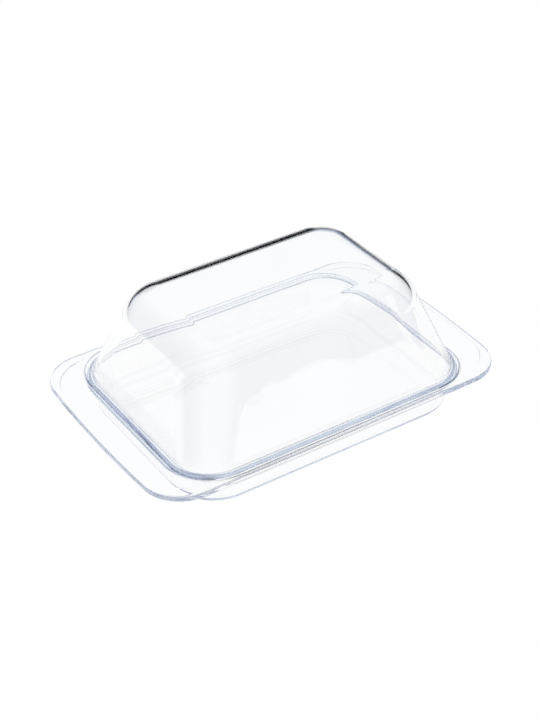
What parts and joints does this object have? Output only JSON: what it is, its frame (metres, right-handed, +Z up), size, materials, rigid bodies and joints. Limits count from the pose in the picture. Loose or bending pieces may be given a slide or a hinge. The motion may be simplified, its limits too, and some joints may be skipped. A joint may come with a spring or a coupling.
{
  "type": "butter dish",
  "caption": "Clear glass butter dish: a shallow rectangular dish with a wide flange that forms end grips, and a loose domed lid with a rounded crown that sits in a rebate round the mouth.",
  "frame": {"origin": "On the surface the dish stands on, under the middle of the dish", "axes": "+X along the length of the dish towards one end grip, +Y across it, +Z up"},
  "size_m": [0.19, 0.124, 0.0673],
  "materials": {
    "clear_glass": "polished"
  },
  "bodies": {
    "dish": {"dish_base": "clear_glass"},
    "lid": {"lid_cover": "clear_glass"}
  },
  "joints": [
    {"name": "lid_lift", "type": "slide", "parent": "dish", "child": "lid", "axis": [0, 0, 1], "range_m": [0, 0.12]}
  ]
}
